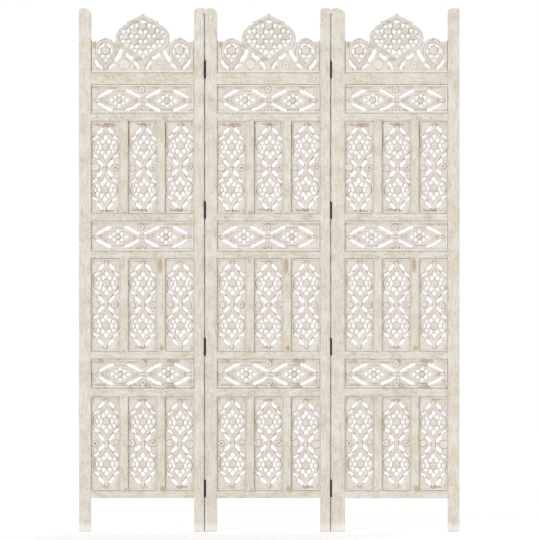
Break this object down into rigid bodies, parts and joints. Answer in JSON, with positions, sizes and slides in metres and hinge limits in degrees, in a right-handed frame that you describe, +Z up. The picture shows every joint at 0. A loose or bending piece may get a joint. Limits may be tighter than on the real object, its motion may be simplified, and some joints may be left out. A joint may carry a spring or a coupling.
{
  "type": "folding screen",
  "caption": "Folding screen of hinged wooden panels, each a frame of posts and rails filled with carved and pierced boards under an arched pierced crest.",
  "frame": {"origin": "centre of the base of the flat screen, on the floor", "axes": "+Z up, +X to the viewer's right along the flat screen, +Y from the front towards the back"},
  "size_m": [1.2, 0.035, 1.65],
  "materials": {
    "frame_wood": "whitewashed, brushed",
    "carved_wood": "whitewashed, hand carved",
    "hinge_iron": "aged, dark",
    "screw_steel": "dulled"
  },
  "bodies": {
    "panel_left": {"left_panel_left_post": "frame_wood", "left_panel_right_post": "frame_wood", "left_panel_bottom_rail": "frame_wood", "left_panel_rail_6": "frame_wood", "left_panel_rail_5": "frame_wood", "left_panel_rail_4": "frame_wood", "left_panel_rail_3": "frame_wood", "left_panel_rail_2": "frame_wood", "left_panel_top_rail": "frame_wood", "left_panel_muntins": "frame_wood", "left_panel_lower_inserts": "carved_wood", "left_panel_lower_band": "carved_wood", "left_panel_middle_inserts": "carved_wood", "left_panel_middle_band": "carved_wood", "left_panel_upper_inserts": "carved_wood", "left_panel_upper_band": "carved_wood", "left_panel_crest": "carved_wood", "left_panel_hinge_leaves": "hinge_iron", "left_panel_hinge_screws": "screw_steel"},
    "panel_centre": {"centre_panel_left_post": "frame_wood", "centre_panel_right_post": "frame_wood", "centre_panel_bottom_rail": "frame_wood", "centre_panel_rail_6": "frame_wood", "centre_panel_rail_5": "frame_wood", "centre_panel_rail_4": "frame_wood", "centre_panel_rail_3": "frame_wood", "centre_panel_rail_2": "frame_wood", "centre_panel_top_rail": "frame_wood", "centre_panel_muntins": "frame_wood", "centre_panel_lower_inserts": "carved_wood", "centre_panel_lower_band": "carved_wood", "centre_panel_middle_inserts": "carved_wood", "centre_panel_middle_band": "carved_wood", "centre_panel_upper_inserts": "carved_wood", "centre_panel_upper_band": "carved_wood", "centre_panel_crest": "carved_wood", "centre_panel_hinge_leaves": "hinge_iron", "centre_panel_hinge_screws": "screw_steel", "hinge_pins": "hinge_iron"},
    "panel_right": {"right_panel_left_post": "frame_wood", "right_panel_right_post": "frame_wood", "right_panel_bottom_rail": "frame_wood", "right_panel_rail_6": "frame_wood", "right_panel_rail_5": "frame_wood", "right_panel_rail_4": "frame_wood", "right_panel_rail_3": "frame_wood", "right_panel_rail_2": "frame_wood", "right_panel_top_rail": "frame_wood", "right_panel_muntins": "frame_wood", "right_panel_lower_inserts": "carved_wood", "right_panel_lower_band": "carved_wood", "right_panel_middle_inserts": "carved_wood", "right_panel_middle_band": "carved_wood", "right_panel_upper_inserts": "carved_wood", "right_panel_upper_band": "carved_wood", "right_panel_crest": "carved_wood", "right_panel_hinge_leaves": "hinge_iron", "right_panel_hinge_screws": "screw_steel"}
  },
  "joints": [
    {"name": "fold_left", "type": "hinge", "parent": "panel_centre", "child": "panel_left", "pos_m": [-0.20375, -0.015, 0.797], "axis": [0, 0, 1], "range_deg": [0, 180]},
    {"name": "fold_right", "type": "hinge", "parent": "panel_centre", "child": "panel_right", "pos_m": [0.19375, 0.015, 0.797], "axis": [0, 0, 1], "range_deg": [0, 180]}
  ]
}
